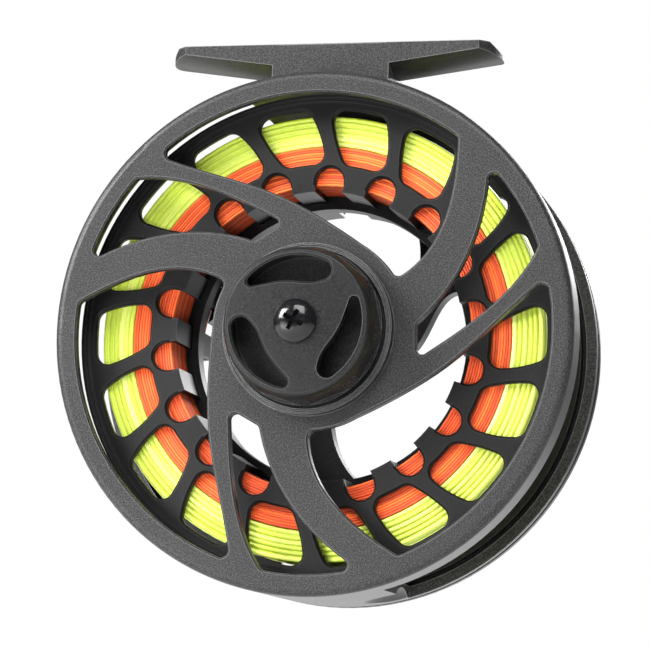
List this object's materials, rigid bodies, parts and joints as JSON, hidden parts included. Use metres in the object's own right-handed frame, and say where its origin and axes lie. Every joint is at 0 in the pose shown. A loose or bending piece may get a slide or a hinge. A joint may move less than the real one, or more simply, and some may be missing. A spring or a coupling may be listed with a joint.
{
  "type": "fly reel",
  "caption": "Large-arbor fly reel with a swirled open frame, caged windowed spool full of chartreuse line over orange backing, a round drag knob, a rod foot and a turning handle.",
  "frame": {"origin": "centre of the rod seat: on the axis of the foot's saddle, halfway along it", "axes": "+X along the rod, +Y from the drag knob towards the handle, along the spool's axis, +Z from the spool towards the rod"},
  "size_m": [0.096, 0.0711, 0.1036],
  "materials": {
    "frame_paint": "fine-textured dark grey powder coat with a metallic speckle",
    "knob_paint": "satin dark grey powder coat",
    "spool_paint": "satin charcoal coat, smoother and darker than the frame",
    "black_steel": "glossy black oxide",
    "steel": "turned stainless steel",
    "bronze": "sintered bronze",
    "carbon": "matt woven carbon friction disc",
    "cage_plastic": "matt moulded acetal",
    "seal_rubber": "matt black nitrile",
    "handle_plastic": "matt black grip with turned grooves",
    "backing_line": "braided orange polyester backing",
    "fly_line_coating": "chartreuse vinyl coating"
  },
  "bodies": {
    "frame_body": {"frame": "frame_paint", "reel_foot": "frame_paint", "foot_screws": "black_steel", "spindle": "steel", "knob_screw": "black_steel", "drag_spring": "steel", "inner_drag_plate": "steel", "outer_drag_plate": "steel", "drag_cover": "knob_paint", "cover_seal": "seal_rubber", "retaining_ring": "steel"},
    "knob_body": {"drag_knob": "knob_paint"},
    "pusher_body": {"pressure_plate": "steel", "thrust_pins": "steel"},
    "rotor_body": {"drag_rotor": "steel", "inner_carbon_washer": "carbon", "outer_carbon_washer": "carbon", "clutch_cage": "cage_plastic", "clutch_rollers": "steel"},
    "spool_body": {"spool": "spool_paint", "drive_sleeve": "steel", "inner_bushing": "bronze", "outer_bushing": "bronze", "backing": "backing_line", "fly_line": "fly_line_coating", "handle_post": "steel", "handle_washer": "cage_plastic", "counterweight": "black_steel", "counterweight_screw": "steel", "hub_cap": "spool_paint", "cap_screws": "black_steel", "latch_spring": "steel"},
    "handle_body": {"handle_knob": "handle_plastic"},
    "latch_body": {"latch_slide": "steel"}
  },
  "joints": [
    {"name": "spool_turn", "type": "hinge", "parent": "frame_body", "child": "spool_body", "pos_m": [0, 0, -0.06042], "axis": [0, 1, 0], "continuous": true},
    {"name": "knob_turn", "type": "hinge", "parent": "frame_body", "child": "knob_body", "pos_m": [0, 0, -0.06042], "axis": [0, 1, 0], "range_deg": [0, 330]},
    {"name": "pusher_slide", "type": "slide", "parent": "frame_body", "child": "pusher_body", "axis": [0, 1, 0], "range_m": [0, 0.0006], "deforming": ["drag_spring"]},
    {"name": "rotor_turn", "type": "hinge", "parent": "frame_body", "child": "rotor_body", "pos_m": [0, 0, -0.06042], "axis": [0, 1, 0], "continuous": true},
    {"name": "handle_spin", "type": "hinge", "parent": "spool_body", "child": "handle_body", "pos_m": [0.02763, 0, -0.08427], "axis": [0, 1, 0], "continuous": true},
    {"name": "latch_press", "type": "slide", "parent": "spool_body", "child": "latch_body", "axis": [-1, 0, 0], "range_m": [0, 0.001], "stiffness_N_per_m": 300, "springref_m": -0.001, "deforming": ["latch_spring"]}
  ],
  "couplings": [
    {"joint": "pusher_slide", "follows": "knob_turn", "m_per_rad": 0.0001}
  ]
}
